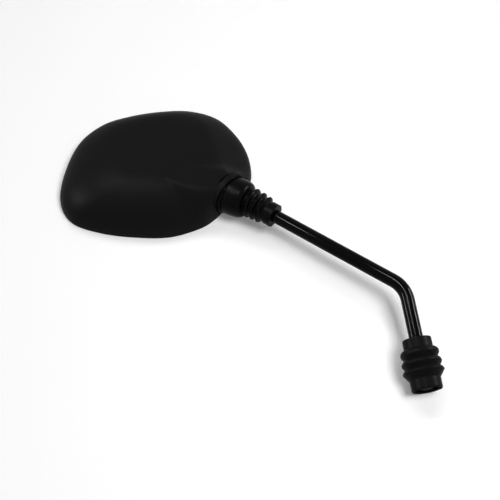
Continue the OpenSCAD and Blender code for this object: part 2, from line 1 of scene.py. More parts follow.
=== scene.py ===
"""Looks of a motorcycle mirror: an oval head on a ball joint, a bent rod and a booted base.

Sizes in the classes are millimetres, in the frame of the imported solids: +Z runs up the rod's
lower leg, +X points outboard and the glass looks back along -Y.
"""
import json
import logging
import math
from dataclasses import dataclass, field
from enum import Enum
from typing import Any, Iterable, Optional, Sequence

import bmesh
import bpy
import numpy as np
from mathutils import Matrix, Vector

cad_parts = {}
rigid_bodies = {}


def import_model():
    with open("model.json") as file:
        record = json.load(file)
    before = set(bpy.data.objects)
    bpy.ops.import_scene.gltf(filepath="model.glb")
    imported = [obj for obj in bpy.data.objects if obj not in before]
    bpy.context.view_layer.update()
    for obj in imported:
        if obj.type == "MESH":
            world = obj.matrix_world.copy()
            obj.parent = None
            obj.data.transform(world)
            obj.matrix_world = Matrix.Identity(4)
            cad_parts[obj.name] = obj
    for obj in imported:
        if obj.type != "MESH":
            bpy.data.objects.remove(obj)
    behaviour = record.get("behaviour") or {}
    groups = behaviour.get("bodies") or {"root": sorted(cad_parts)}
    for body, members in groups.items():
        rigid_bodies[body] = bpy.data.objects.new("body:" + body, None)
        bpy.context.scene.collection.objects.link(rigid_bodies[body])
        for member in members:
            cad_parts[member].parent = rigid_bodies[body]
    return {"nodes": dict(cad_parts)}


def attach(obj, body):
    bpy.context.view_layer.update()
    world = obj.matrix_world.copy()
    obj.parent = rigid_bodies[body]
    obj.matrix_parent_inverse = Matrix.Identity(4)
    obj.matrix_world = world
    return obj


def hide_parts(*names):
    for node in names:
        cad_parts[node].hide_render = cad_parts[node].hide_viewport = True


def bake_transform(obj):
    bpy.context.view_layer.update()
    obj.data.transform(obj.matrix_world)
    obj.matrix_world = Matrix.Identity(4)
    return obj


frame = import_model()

MM = 0.001
log = logging.getLogger("mirror")
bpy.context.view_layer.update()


# Node trees

class Socket:
    """One output of a node, which Python's operators turn into Math nodes."""

    def __init__(self, tree: "Tree", link: bpy.types.NodeSocket) -> None:
        """Keeps the tree and the socket that is wrapped."""
        self.tree = tree
        self.link = link

    def _math(self, operation: str, *values: Any) -> "Socket":
        """Adds one Math node.

        Args:
            operation: The Math node's operation.
            *values: Its operands, as numbers or sockets.

        Returns:
            The node's result.
        """
        node = self.tree.node("ShaderNodeMath", {"operation": operation},
                              {i: v for i, v in enumerate(values)})
        return node.out(0)

    def __add__(self, other: Any) -> "Socket":
        """Sum."""
        return self._math("ADD", self, other)

    def __radd__(self, other: Any) -> "Socket":
        """Sum with a number on the left."""
        return self._math("ADD", other, self)

    def __sub__(self, other: Any) -> "Socket":
        """Difference."""
        return self._math("SUBTRACT", self, other)

    def __rsub__(self, other: Any) -> "Socket":
        """Difference with a number on the left."""
        return self._math("SUBTRACT", other, self)

    def __mul__(self, other: Any) -> "Socket":
        """Product."""
        return self._math("MULTIPLY", self, other)

    def __rmul__(self, other: Any) -> "Socket":
        """Product with a number on the left."""
        return self._math("MULTIPLY", other, self)

    def __truediv__(self, other: Any) -> "Socket":
        """Quotient."""
        return self._math("DIVIDE", self, other)

    def __pow__(self, other: Any) -> "Socket":
        """Power."""
        return self._math("POWER", self, other)

    def __lt__(self, other: Any) -> "Socket":
        """1 where this is less than the other, else 0."""
        return self._math("LESS_THAN", self, other)

    def __gt__(self, other: Any) -> "Socket":
        """1 where this is greater than the other, else 0."""
        return self._math("GREATER_THAN", self, other)

    def clamp(self, low: float = 0.0, high: float = 1.0) -> "Socket":
        """This value held between two limits."""
        return self._math("MINIMUM", self._math("MAXIMUM", self, low), high)

    def cosine(self) -> "Socket":
        """Cosine of this angle in radians."""
        return self._math("COSINE", self)

    def quarter(self) -> "Socket":
        """Quarter of a circle: 0 at 0 and 1 at 1, steep at the start."""
        rest = (1.0 - self).clamp()
        return (1.0 - rest * rest).clamp() ** 0.5

    def mix(self, low: Any, high: Any) -> "Socket":
        """Low where this is 0 and high where it is 1."""
        return (1.0 - self) * low + self * high


class Node:
    """A node in a tree, whose outputs are read by name or place."""

    def __init__(self, tree: "Tree", node: bpy.types.Node) -> None:
        """Keeps the tree and the node."""
        self.tree = tree
        self.node = node

    def out(self, key: Any = 0) -> Socket:
        """The output with that name or place."""
        return Socket(self.tree, self.node.outputs[key])


class Tree:
    """A node tree that is built by expressions."""

    def __init__(self, tree: bpy.types.NodeTree) -> None:
        """Wraps a Blender node tree."""
        self.tree = tree

    def node(self, kind: str, settings: Optional[dict[str, Any]] = None,
             values: Optional[dict[Any, Any]] = None) -> Node:
        """Adds one node of any type.

        Args:
            kind: Blender's name for the node's type.
            settings: Its settings, set first.
            values: Its inputs by name or place, as plain values, sockets or nodes.

        Returns:
            The wrapped node.
        """
        made = self.tree.nodes.new(kind)
        for key, value in (settings or {}).items():
            setattr(made, key, value)
        for key, value in (values or {}).items():
            if isinstance(value, Node):
                value = value.out(0)
            if isinstance(value, Socket):
                self.tree.links.new(value.link, made.inputs[key])
            else:
                made.inputs[key].default_value = value
        return Node(self, made)

    def least(self, a: Any, b: Any) -> Socket:
        """The smaller of two values."""
        return self.node("ShaderNodeMath", {"operation": "MINIMUM"}, {0: a, 1: b}).out(0)


# Finishes

@dataclass(frozen=True)
class Finish:
    """A surface: a base colour that drifts a little, a gloss that drifts, and a fine relief."""

    name: str
    colour: tuple[float, float, float]
    roughness: float
    metallic: float = 0.0
    specular: float = 0.5
    drift: float = 0.1
    drift_scale: float = 40.0
    rough_drift: float = 0.05
    grain_scale: float = 1500.0
    grain_strength: float = 0.1
    grain_depth: float = 0.05
    second_grain: float = 0.0

    def make(self) -> bpy.types.Material:
        """Builds the material.

        Returns:
            The finished material.
        """
        material = bpy.data.materials.new(self.name)
        material.use_nodes = True
        material.diffuse_color = (*self.colour, 1.0)
        tree = Tree(material.node_tree)
        shader = material.node_tree.nodes["Principled BSDF"]
        place = tree.node("ShaderNodeTexCoord").out("Object")
        cloud = tree.node("ShaderNodeTexNoise", {},
                          {"Vector": place, "Scale": self.drift_scale, "Detail": 3.0}).out("Fac")
        tone = 1.0 + (cloud - 0.5) * (2.0 * self.drift)
        base = tree.node("ShaderNodeVectorMath", {"operation": "SCALE"},
                         {0: self.colour, "Scale": tone}).out(0)
        rough = (self.roughness + (cloud - 0.5) * (2.0 * self.rough_drift)).clamp(0.02, 1.0)
        tree.tree.links.new(base.link, shader.inputs["Base Color"])
        tree.tree.links.new(rough.link, shader.inputs["Roughness"])
        tree.tree.links.new(self._relief(tree, place).link, shader.inputs["Normal"])
        shader.inputs["Metallic"].default_value = self.metallic
        shader.inputs["Specular IOR Level"].default_value = self.specular
        return material

    def _relief(self, tree: Tree, place: Socket) -> Socket:
        """Adds the fine relief.

        Args:
            tree: The material's tree.
            place: The coordinates that the relief follows.

        Returns:
            The normal that carries it.
        """
        height = tree.node("ShaderNodeTexNoise", {},
                           {"Vector": place, "Scale": self.grain_scale, "Detail": 2.0,
                            "Roughness": 0.6}).out("Fac")
        if self.second_grain > 0.0:
            cells = tree.node("ShaderNodeTexVoronoi", {"feature": "SMOOTH_F1"},
                              {"Vector": place, "Scale": self.grain_scale * 0.7,
                               "Smoothness": 0.6}).out("Distance")
            height = height + cells * self.second_grain
        return tree.node("ShaderNodeBump", {},
                         {"Height": height, "Strength": self.grain_strength,
                          "Distance": self.grain_depth * MM}).out(0)


class Finishes(Enum):
    """The finishes of the mirror's pieces."""

    HOUSING = Finish("moulded_housing", (0.0068, 0.0068, 0.0069), 0.46, specular=0.018,
                     drift=0.06, rough_drift=0.04, grain_scale=1400.0, grain_strength=0.4,
                     grain_depth=0.05, second_grain=0.8)
    ROD = Finish("gloss_black_coat", (0.0004, 0.0004, 0.0005), 0.08, specular=0.045, drift=0.1,
                 rough_drift=0.02, grain_scale=350.0, grain_strength=0.05, grain_depth=0.05)
    BASE_RUBBER = Finish("base_boot_rubber", (0.0044, 0.0044, 0.0047), 0.42, specular=0.024,
                         drift=0.3, drift_scale=900.0, rough_drift=0.1, grain_scale=700.0,
                         grain_strength=0.5, grain_depth=0.1)
    NECK_RUBBER = Finish("neck_boot_rubber", (0.0016, 0.0016, 0.0017), 0.3, specular=0.03,
                         drift=0.12, rough_drift=0.05, grain_scale=800.0, grain_strength=0.1)
    BLACK_STEEL = Finish("black_oxide_steel", (0.004, 0.004, 0.0043), 0.6, specular=0.02,
                         drift=0.2, rough_drift=0.08, grain_scale=900.0, grain_strength=0.15)
    ZINC = Finish("zinc_plated_steel", (0.55, 0.56, 0.58), 0.3, metallic=1.0, drift=0.08,
                  rough_drift=0.06, grain_scale=700.0, grain_strength=0.1)
    SPRING = Finish("oiled_spring_wire", (0.32, 0.32, 0.33), 0.28, metallic=1.0, drift=0.1,
                    rough_drift=0.05, grain_scale=600.0, grain_strength=0.1)
    BEARING = Finish("natural_bearing_plastic", (0.62, 0.60, 0.53), 0.35, drift=0.04,
                     rough_drift=0.03, grain_scale=600.0, grain_strength=0.05)
    CARRIER = Finish("carrier_plastic", (0.03, 0.03, 0.03), 0.5, drift=0.08,
                     grain_scale=900.0, grain_strength=0.2)
    FOAM = Finish("foam_pad", (0.06, 0.06, 0.06), 0.9, drift=0.2, grain_scale=1200.0,
                  grain_strength=0.6, grain_depth=0.15, second_grain=1.0)
    SILVER = Finish("silvered_face", (0.80, 0.82, 0.83), 0.02, metallic=1.0, drift=0.005,
                    rough_drift=0.005, grain_scale=60.0, grain_strength=0.01, grain_depth=0.02)
    GROUND_EDGE = Finish("ground_glass_edge", (0.16, 0.20, 0.19), 0.4, drift=0.15,
                         grain_scale=1500.0, grain_strength=0.3)

    @property
    def material(self) -> bpy.types.Material:
        """The finish's material, built once."""
        return bpy.data.materials.get(self.value.name) or self.value.make()


# Meshes

def mesh_object(name: str, points: np.ndarray, faces: Iterable[Sequence[int]], finish: Finishes,
                sharp: float = 40.0) -> bpy.types.Object:
    """Makes a smooth-shaded object from points in millimetres.

    Args:
        name: The object's name.
        points: Its points in the row frame.
        faces: Its faces, as indices.
        finish: Its finish.
        sharp: Edges that bend more than this many degrees stay sharp.

    Returns:
        The object, linked to the scene.
    """
    mesh = bpy.data.meshes.new(name)
    mesh.from_pydata((np.asarray(points, float) * MM).tolist(), [], [list(f) for f in faces])
    mesh.validate()
    return finish_object(name, mesh, finish, sharp)


def finish_object(name: str, mesh: bpy.types.Mesh, finish: Finishes,
                  sharp: float = 40.0) -> bpy.types.Object:
    """Cleans a mesh, shades it smooth and links an object that shows it.

    Args:
        name: The object's name.
        mesh: The mesh, in metres.
        finish: Its finish.
        sharp: Edges that bend more than this many degrees stay sharp.

    Returns:
        The object.
    """
    work = bmesh.new()
    work.from_mesh(mesh)
    bmesh.ops.remove_doubles(work, verts=work.verts, dist=1e-7)
    bmesh.ops.recalc_face_normals(work, faces=work.faces)
    work.to_mesh(mesh)
    work.free()
    mesh.shade_smooth()
    mesh.set_sharp_from_angle(angle=math.radians(sharp))
    mesh.materials.clear()
    mesh.materials.append(finish.material)
    made = bpy.data.objects.new(name, mesh)
    bpy.context.scene.collection.objects.link(made)
    return made


def grid_faces(rings: int, sides: int, close_rings: bool = False) -> list[tuple[int, ...]]:
    """Quads that join rings of points.

    Args:
        rings: Number of rings.
        sides: Points in each ring.
        close_rings: Also joins the last ring to the first.

    Returns:
        The faces.
    """
    last = rings if close_rings else rings - 1
    return [(j * sides + i, (j + 1) % rings * sides + i,
             (j + 1) % rings * sides + (i + 1) % sides, j * sides + (i + 1) % sides)
            for j in range(last) for i in range(sides)]


def join_meshes(name: str, parts: Sequence[bpy.types.Object]) -> bpy.types.Object:
    """Joins objects that sit at the origin into one new object.

    Args:
        name: The joined object's name.
        parts: The objects; all of them are removed.

    Returns:
        The joined object.
    """
    materials: list[bpy.types.Material] = []
    work = bmesh.new()
    for part in parts:
        slots = {}
        for i, material in enumerate(part.data.materials):
            if material not in materials:
                materials.append(material)
            slots[i] = materials.index(material)
        start = len(work.faces)
        work.from_mesh(part.data)
        work.faces.ensure_lookup_table()
        for face in work.faces[start:]:
            face.material_index = slots.get(face.material_index, 0)
    mesh = bpy.data.meshes.new(name)
    work.to_mesh(mesh)
    work.free()
    for material in materials:
        mesh.materials.append(material)
    for part in parts:
        bpy.data.objects.remove(part)
    made = bpy.data.objects.new(name, mesh)
    bpy.context.scene.collection.objects.link(made)
    return made


@dataclass(frozen=True)
class Place:
    """A local frame: its origin and its three axes in the row frame."""

    origin: np.ndarray
    x: np.ndarray
    y: np.ndarray
    z: np.ndarray

    def put(self, points: np.ndarray) -> np.ndarray:
        """Local points, in millimetres, as row-frame points."""
        p = np.asarray(points, float)
        return self.origin + p[:, :1] * self.x + p[:, 1:2] * self.y + p[:, 2:3] * self.z

    def turned(self, name: str, profile: Sequence[tuple[float, float]], finish: Finishes,
               sides: int = 96, sharp: float = 35.0, closed: bool = False) -> bpy.types.Object:
        """Turns a profile round this frame's Z axis.

        Args:
            name: The object's name.
            profile: (radius, height) pairs.
            finish: Its finish.
            sides: Steps round the axis.
            sharp: Edges that bend more than this many degrees stay sharp.
            closed: Joins the profile's last point to its first.

        Returns:
            The turned object.
        """
        turn = np.arange(sides) * (2 * math.pi / sides)
        rings = [np.stack([r * np.cos(turn), r * np.sin(turn), np.full(sides, h)], 1)
                 for r, h in profile]
        return mesh_object(name, self.put(np.concatenate(rings)),
                           grid_faces(len(rings), sides, closed), finish, sharp)


def unit(v: np.ndarray) -> np.ndarray:
    """The vector at length 1."""
    return v / np.linalg.norm(v)


def rounded(profile: Sequence[tuple[float, float]], radius: float, steps: int = 4,
            closed: bool = False) -> list[tuple[float, float]]:
    """Rounds the corners of a profile.

    Args:
        profile: (radius, height) pairs.
        radius: Distance from each corner at which its curve starts.
        steps: Points on each corner's curve.
        closed: The profile is a loop.

    Returns:
        The rounded profile.
    """
    p = [np.array(q, float) for q in profile]
    out: list[np.ndarray] = []
    for i, b in enumerate(p):
        if not closed and i in (0, len(p) - 1):
            out.append(b)
            continue
        a, c = p[i - 1], p[(i + 1) % len(p)]
        reach = min(radius, np.linalg.norm(a - b) * 0.45, np.linalg.norm(c - b) * 0.45)
        start, end = b + unit(a - b) * reach, b + unit(c - b) * reach
        for s in np.linspace(0, 1, steps + 1):
            out.append((1 - s) ** 2 * start + 2 * s * (1 - s) * b + s * s * end)
    return [(float(q[0]), float(q[1])) for q in out]


# Geometry Nodes

class GeoTree(Tree):
    """A Geometry Nodes tree with named inputs, which ends in one material."""

    def __init__(self, name: str, inputs: dict[str, float]) -> None:
        """Makes the group, its inputs and its geometry sockets.

        Args:
            name: The group's name.
            inputs: Named inputs with their values.
        """
        group = bpy.data.node_groups.new(name, "GeometryNodeTree")
        super().__init__(group)
        group.interface.new_socket("Geometry", in_out="INPUT", socket_type="NodeSocketGeometry")
        group.interface.new_socket("Geometry", in_out="OUTPUT", socket_type="NodeSocketGeometry")
        self.ids: dict[str, str] = {}
        for key, value in inputs.items():
            kind = "NodeSocketInt" if isinstance(value, int) else "NodeSocketFloat"
            made = group.interface.new_socket(key, in_out="INPUT", socket_type=kind)
            made.default_value = value
            self.ids[key] = made.identifier
        self.values = dict(inputs)
        self.entry = self.node("NodeGroupInput")

    def value(self, key: str) -> Socket:
        """A named input of the tree."""
        return self.entry.out(key)

    def end(self, geometry: Socket, finish: Finishes) -> None:
        """Realizes the result, shades it and sets its material.

        Args:
            geometry: The geometry to hand out.
            finish: Its finish.
        """
        real = self.node("GeometryNodeRealizeInstances", {}, {"Geometry": geometry}).out(0)
        real = self.node("GeometryNodeSetShadeSmooth", {}, {0: real}).out(0)
        real = self.node("GeometryNodeSetMaterial", {},
                         {"Geometry": real, "Material": finish.material}).out(0)
        self.node("NodeGroupOutput", {}, {"Geometry": real})

    def build(self, name: str, finish: Finishes, path: Sequence[np.ndarray] = (),
              place: Optional[Place] = None, wall: float = 0.0,
              sharp: float = 40.0) -> bpy.types.Object:
        """Runs the tree once and keeps its result as a plain mesh.

        Args:
            name: The object's name.
            finish: Its finish.
            path: Points in millimetres that the tree starts from, joined by edges.
            place: The frame that the result is made in.
            wall: Thickness to give the skin, inwards, in millimetres.
            sharp: Edges that bend more than this many degrees stay sharp.

        Returns:
            The object, at the origin.
        """
        start = bpy.data.meshes.new(name + "_path")
        points = [tuple(np.asarray(p, float) * MM) for p in path] or [(0.0, 0.0, 0.0)]
        start.from_pydata(points, [(i, i + 1) for i in range(len(points) - 1)], [])
        holder = bpy.data.objects.new(name + "_path", start)
        bpy.context.scene.collection.objects.link(holder)
        modifier = holder.modifiers.new(self.tree.name, "NODES")
        modifier.node_group = self.tree
        for key, identifier in self.ids.items():
            modifier[identifier] = self.values[key]
        if wall > 0.0:
            shell = holder.modifiers.new("wall", "SOLIDIFY")
            shell.thickness = wall * MM
            shell.offset = -1.0
            shell.use_even_offset = False
        holder.update_tag()
        bpy.context.view_layer.update()
        graph = bpy.context.evaluated_depsgraph_get()
        mesh = bpy.data.meshes.new_from_object(holder.evaluated_get(graph))
        holder.modifiers.clear()
        bpy.data.objects.remove(holder)
        if place is not None:
            turn = np.stack([place.x, place.y, place.z], 1)
            matrix = Matrix(turn.tolist()).to_4x4()
            matrix.translation = Vector(place.origin * MM)
            mesh.transform(matrix)
        return finish_object(name, mesh, finish, sharp)


@dataclass
class Coil:
    """A wire wound into a helix, for a spring, or laid on a core, for a thread."""

    radius: float
    height: float
    turns: float
    wire: float
    wire_sides: int = 10
    turn_steps: int = 48

    def tree(self, finish: Finishes) -> GeoTree:
        """Builds the tree.

        Args:
            finish: The coil's finish.

        Returns:
            The tree, ready to run.
        """
        tree = GeoTree("coil", {"Radius": self.radius * MM, "Height": self.height * MM,
                                "Turns": self.turns, "Wire": self.wire * MM,
                                "Wire Sides": self.wire_sides, "Turn Steps": self.turn_steps})
        line = tree.node("GeometryNodeCurveSpiral", {}, {
            "Resolution": tree.value("Turn Steps"), "Rotations": tree.value("Turns"),
            "Start Radius": tree.value("Radius"), "End Radius": tree.value("Radius"),
            "Height": tree.value("Height")})
        ring = tree.node("GeometryNodeCurvePrimitiveCircle", {"mode": "RADIUS"}, {
            "Resolution": tree.value("Wire Sides"), "Radius": tree.value("Wire")})
        skin = tree.node("GeometryNodeCurveToMesh", {}, {
            "Curve": line, "Profile Curve": ring, "Fill Caps": True})
        tree.end(skin.out(0), finish)
        return tree


@dataclass
class Bellows:
    """A rubber boot along a path: a collar, a lead-in, rings, a tail and a plain end.

    Distances run along the path from the collar's free end.
    """

    bore: float
    collar_r: float
    collar: float
    lead: float
    rings: int
    step: float
    first_r: float
    grow: float
    depth: float
    sharpness: float
    tail: float
    end_r: float
    plain: float
    domed: float = 0.0
    dome_r: float = 0.0
    start_edge: float = 0.4
    end_edge: float = 1.2
    groove: float = 0.0
    groove_width: float = 0.7
    groove_depth: float = 0.5
    sides: int = 88
    steps: int = 320

    @property
    def length(self) -> float:
        """Length of the whole boot along its path."""
        return self.collar + self.lead + (self.rings - 1) * self.step + self.tail + self.plain

    def tree(self, finish: Finishes) -> GeoTree:
        """Builds the tree: a resampled path whose radius follows the boot's rule.

        Args:
            finish: The boot's finish.

        Returns:
            The tree, ready to run.
        """
        tree = GeoTree("bellows", {
            "Bore": self.bore, "Collar Radius": self.collar_r, "Collar": self.collar,
            "Lead": self.lead, "Rings": float(self.rings), "Step": self.step,
            "First Radius": self.first_r, "Growth": self.grow, "Depth": self.depth,
            "Sharpness": self.sharpness, "Tail": self.tail, "End Radius": self.end_r,
            "Plain": self.plain, "Domed": self.domed, "Dome Radius": self.dome_r,
            "Start Edge": self.start_edge, "End Edge": self.end_edge, "Groove": self.groove,
            "Groove Width": self.groove_width, "Groove Depth": self.groove_depth,
            "Sides": self.sides, "Steps": self.steps})
        line = tree.node("GeometryNodeMeshToCurve", {}, {"Mesh": tree.value("Geometry")})
        line = tree.node("GeometryNodeResampleCurve", {},
                         {"Curve": line, "Count": tree.value("Steps")})
        far = tree.node("GeometryNodeSplineParameter").out("Length") / MM
        radius = self._ends(tree, far, self._body(tree, far))
        line = tree.node("GeometryNodeSetCurveRadius", {}, {"Curve": line, "Radius": radius * MM})
        ring = tree.node("GeometryNodeCurvePrimitiveCircle", {"mode": "RADIUS"},
                         {"Resolution": tree.value("Sides"), "Radius": 1.0})
        skin = tree.node("GeometryNodeCurveToMesh", {}, {
            "Curve": line, "Profile Curve": ring, "Fill Caps": False})
        if "Scale" in skin.node.inputs:
            tree.tree.links.new((radius * MM).link, skin.node.inputs["Scale"])
        tree.end(skin.out(0), finish)
        return tree

    @staticmethod
    def _body(tree: GeoTree, far: Socket) -> Socket:
        """The radius by distance, before the ends are rounded.

        Args:
            tree: The boot's tree.
            far: Distance along the path.

        Returns:
            The radius.
        """
        v = tree.value
        crest_1 = v("Collar") + v("Lead")
        crest_n = crest_1 + (v("Rings") - 1.0) * v("Step")
        t = ((far - crest_1) / v("Step")).clamp(-0.5, 50.0)
        t = tree.least(t, v("Rings") - 0.5)
        wave = ((1.0 + (t * (2.0 * math.pi)).cosine()) * 0.5).clamp() ** v("Sharpness")
        ring_r = v("First Radius") + v("Growth") * t - v("Depth") * (1.0 - wave)
        last_r = v("First Radius") + v("Growth") * (v("Rings") - 1.0)
        lead_r = ((far - v("Collar")) / v("Lead")).clamp().quarter().mix(
            v("Collar Radius"), v("First Radius"))
        tail_t = (far - crest_n) / v("Tail")
        cone_r = tail_t.clamp().mix(last_r, v("End Radius"))
        dome_start = crest_n + v("Tail")
        fall = ((v("Plain") - (far - dome_start)) / v("Plain")).clamp()
        dome_r = ((1.0 - fall ** 4.0).clamp() ** 0.25).mix(last_r - v("Depth"), v("Dome Radius"))
        before = v("Domed").mix(lead_r, ring_r)
        after = v("Domed").mix(cone_r, ring_r)
        end_r = v("Domed").mix(v("End Radius"), dome_r)
        radius = (far < crest_1).mix(ring_r, before)
        radius = (far > crest_n).mix(radius, after)
        radius = (far > dome_start).mix(radius, end_r)
        return (far < v("Collar")).mix(radius, v("Collar Radius"))

    @staticmethod
    def _ends(tree: GeoTree, far: Socket, radius: Socket) -> Socket:
        """Rounds both ends, closes the collar on its bore and adds the foot's rim.

        Args:
            tree: The boot's tree.
            far: Distance along the path.
            radius: The radius by distance.

        Returns:
            The finished radius.
        """
        v = tree.value
        end = v("Collar") + v("Lead") + (v("Rings") - 1.0) * v("Step") + v("Tail") + v("Plain")
        left = end - far
        foot = (left < v("Groove")) * v("Domed")
        radius = foot.mix(radius, v("End Radius"))
        cut = (left > v("Groove")) * (left < v("Groove") + v("Groove Width")) * v("Domed")
        radius = radius - cut * v("Groove Depth")
        near_end = (1.0 - left / v("End Edge")).clamp()
        near_start = (1.0 - far / v("Start Edge")).clamp()
        radius = radius - v("End Edge") * 0.7 * (1.0 - (1.0 - near_end * near_end).clamp() ** 0.5)
        radius = radius - v("Start Edge") * (1.0 - (1.0 - near_start * near_start).clamp() ** 0.5)
        return (far < 0.001).mix(radius, v("Bore"))


@dataclass
class BentRod:
    """The rod's round bar: a path with one rounded corner."""

    radius: float
    bend: float
    sides: int = 72
    bend_steps: int = 40

    def tree(self, finish: Finishes) -> GeoTree:
        """Builds the tree.

        Args:
            finish: The rod's finish.

        Returns:
            The tree, ready to run.
        """
        tree = GeoTree("bent_rod", {"Radius": self.radius * MM, "Bend": self.bend * MM,
                                    "Sides": self.sides, "Bend Steps": self.bend_steps})
        line = tree.node("GeometryNodeMeshToCurve", {}, {"Mesh": tree.value("Geometry")})
        line = tree.node("GeometryNodeFilletCurve", {"mode": "POLY"}, {
            "Curve": line, "Radius": tree.value("Bend"), "Count": tree.value("Bend Steps")})
        ring = tree.node("GeometryNodeCurvePrimitiveCircle", {"mode": "RADIUS"}, {
            "Resolution": tree.value("Sides"), "Radius": tree.value("Radius")})
        skin = tree.node("GeometryNodeCurveToMesh", {}, {
            "Curve": line, "Profile Curve": ring, "Fill Caps": True})
        tree.end(skin.out(0), finish)
        return tree


# The mirror

@dataclass
class Layout:
    """Places that the sub-assemblies share."""

    corner_h: float = 60.5
    bend_r: float = 22.0
    arm_len: float = 169.0
    arm_climb: float = 42.2
    arm_sweep: float = 15.3
    head_pitch: float = 11.1
    socket_angle: float = 50.0
    base_top: float = 21.6
    base_mouth: float = -15.0

    @property
    def arm_dir(self) -> np.ndarray:
        """Direction of the upper arm, from the bend to the ball."""
        c, s = math.radians(self.arm_climb), math.radians(self.arm_sweep)
        return np.array([math.cos(c) * math.cos(s), -math.cos(c) * math.sin(s), math.sin(c)])

    @property
    def corner(self) -> np.ndarray:
        """Corner where the rod's two straight centre lines meet."""
        return np.array([0.0, 0.0, self.corner_h])

    @property
    def ball(self) -> np.ndarray:
        """Middle of the ball."""
        return self.corner + self.arm_len * self.arm_dir

    @property
    def head(self) -> Place:
        """The head's frame: the ball's centre, X outboard, Y to the housing's back, Z up."""
        p = math.radians(self.head_pitch)
        return Place(self.ball, np.array([1.0, 0.0, 0.0]),
                     np.array([0.0, math.cos(p), math.sin(p)]),
                     np.array([0.0, -math.sin(p), math.cos(p)]))

    @property
    def socket(self) -> Place:
        """The socket's frame: +Z runs out of the housing's mouth."""
        a = math.radians(self.socket_angle)
        head = self.head
        z = -math.cos(a) * head.x - math.sin(a) * head.z
        return Place(self.ball, np.cross(head.y, z), head.y, z)

    @property
    def arm(self) -> Place:
        """The arm's frame: from the ball, +Z runs down the rod to the bend."""
        z = -self.arm_dir
        x = unit(np.cross(np.array([0.0, 1.0, 0.0]), z))
        return Place(self.ball, x, np.cross(z, x), z)

    @property
    def stud(self) -> Place:
        """The row frame."""
        return Place(np.zeros(3), np.array([1.0, 0.0, 0.0]), np.array([0.0, 1.0, 0.0]),
                     np.array([0.0, 0.0, 1.0]))


@dataclass
class Base:
    """The foot of the mirror: adapter, nut, washer and boot."""

    layout: Layout
    thread_r: float = 5.0
    thread_root: float = 4.35
    pitch: float = 1.25
    stud_len: float = 14.0
    hex_af: float = 14.0
    adapter_h: float = 9.0
    nut_z: float = 11.0
    nut_h: float = 6.0
    thread_play: float = 0.05
    hole_edge: float = 0.5
    hex_edge: float = 0.25
    hex_cone: float = 30.0

    def hexagon(self, name: str, low: float, high: float, bore: float,
                finish: Finishes) -> bpy.types.Object:
        """A hexagon with turned, bevelled faces and a hole.

        Args:
            name: The object's name.
            low: Height of its lower face.
            high: Height of its upper face.
            bore: Radius of its hole.
            finish: Its finish.

        Returns:
            The object.
        """
        sides, inner = 144, self.hex_af / 2
        turn = np.arange(sides) * (2 * math.pi / sides)
        flat = inner / np.cos(np.abs((turn % (math.pi / 3)) - math.pi / 6))
        face_r = inner - self.hex_edge
        drop = np.maximum(flat - face_r, 0.0) * math.tan(math.radians(self.hex_cone))
        edge = self.hole_edge
        rings = []
        for r, z in ((bore + edge, low), (face_r, low), (flat, low + drop), (flat, high - drop),
                     (face_r, high), (bore + edge, high), (bore, high - edge), (bore, low + edge)):
            rings.append(np.stack([r * np.cos(turn), r * np.sin(turn), z + 0.0 * turn], 1))
        return mesh_object(name, np.concatenate(rings), grid_faces(len(rings), sides, True),
                           finish, 25.0)

    def thread(self, name: str, low: float, high: float, finish: Finishes) -> bpy.types.Object:
        """A threaded shank: a core with a ridge wound round it.

        Args:
            name: The object's name.
            low: Height of its lower end.
            high: Height of its upper end.
            finish: Its finish.

        Returns:
            The object.
        """
        place = self.layout.stud
        core = place.turned(name + "_core", rounded(
            [(0.0, low), (self.thread_root, low), (self.thread_root, high), (0.0, high)], 0.8),
            finish)
        ridge = self.thread_r - self.thread_root
        wire = ridge * 0.62
        turns = (high - low - 2 * ridge) / self.pitch
        coil = Coil(self.thread_r - wire, turns * self.pitch, turns, wire)
        start = Place(np.array([0.0, 0.0, low + ridge]), place.x, place.y, place.z)
        wound = coil.tree(finish).build(name + "_ridge", finish, place=start)
        return join_meshes(name, [core, wound])

    def build(self) -> None:
        """Builds the adapter, the nut and the boot."""
        adapter = join_meshes("adapter_dressed", [
            self.hexagon("adapter_hex", 0.0, self.adapter_h, self.thread_r + self.thread_play,
                         Finishes.BLACK_STEEL),
            self.thread("adapter_stud", -self.stud_len, 1.0, Finishes.BLACK_STEEL)])
        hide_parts("adapter")
        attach(adapter, "mount")
        nut = self.hexagon("lock_nut_dressed", self.nut_z, self.nut_z + self.nut_h,
                           self.thread_r + self.thread_play, Finishes.BLACK_STEEL)
        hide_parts("lock_nut")
        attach(nut, "nut")
        boot = self.boot()
        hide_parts("base_boot")
        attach(boot, "boot_low")
        log.info("base: adapter, nut and boot built")

    def boot(self) -> bpy.types.Object:
        """The base boot, round the rod's lower leg.

        Returns:
            The boot.
        """
        top, bottom = self.layout.base_top, self.layout.base_mouth
        shape = Bellows(bore=5.05, collar_r=10.25, collar=7.2, lead=3.4, rings=3, step=6.6,
                        first_r=13.6, grow=0.55, depth=2.0, sharpness=0.6, tail=5.0, end_r=10.9,
                        plain=7.8)
        path = [np.array([0.0, 0.0, top]), np.array([0.0, 0.0, bottom])]
        return shape.tree(Finishes.BASE_RUBBER).build("base_boot_dressed", Finishes.BASE_RUBBER,
                                                      path, wall=1.5)


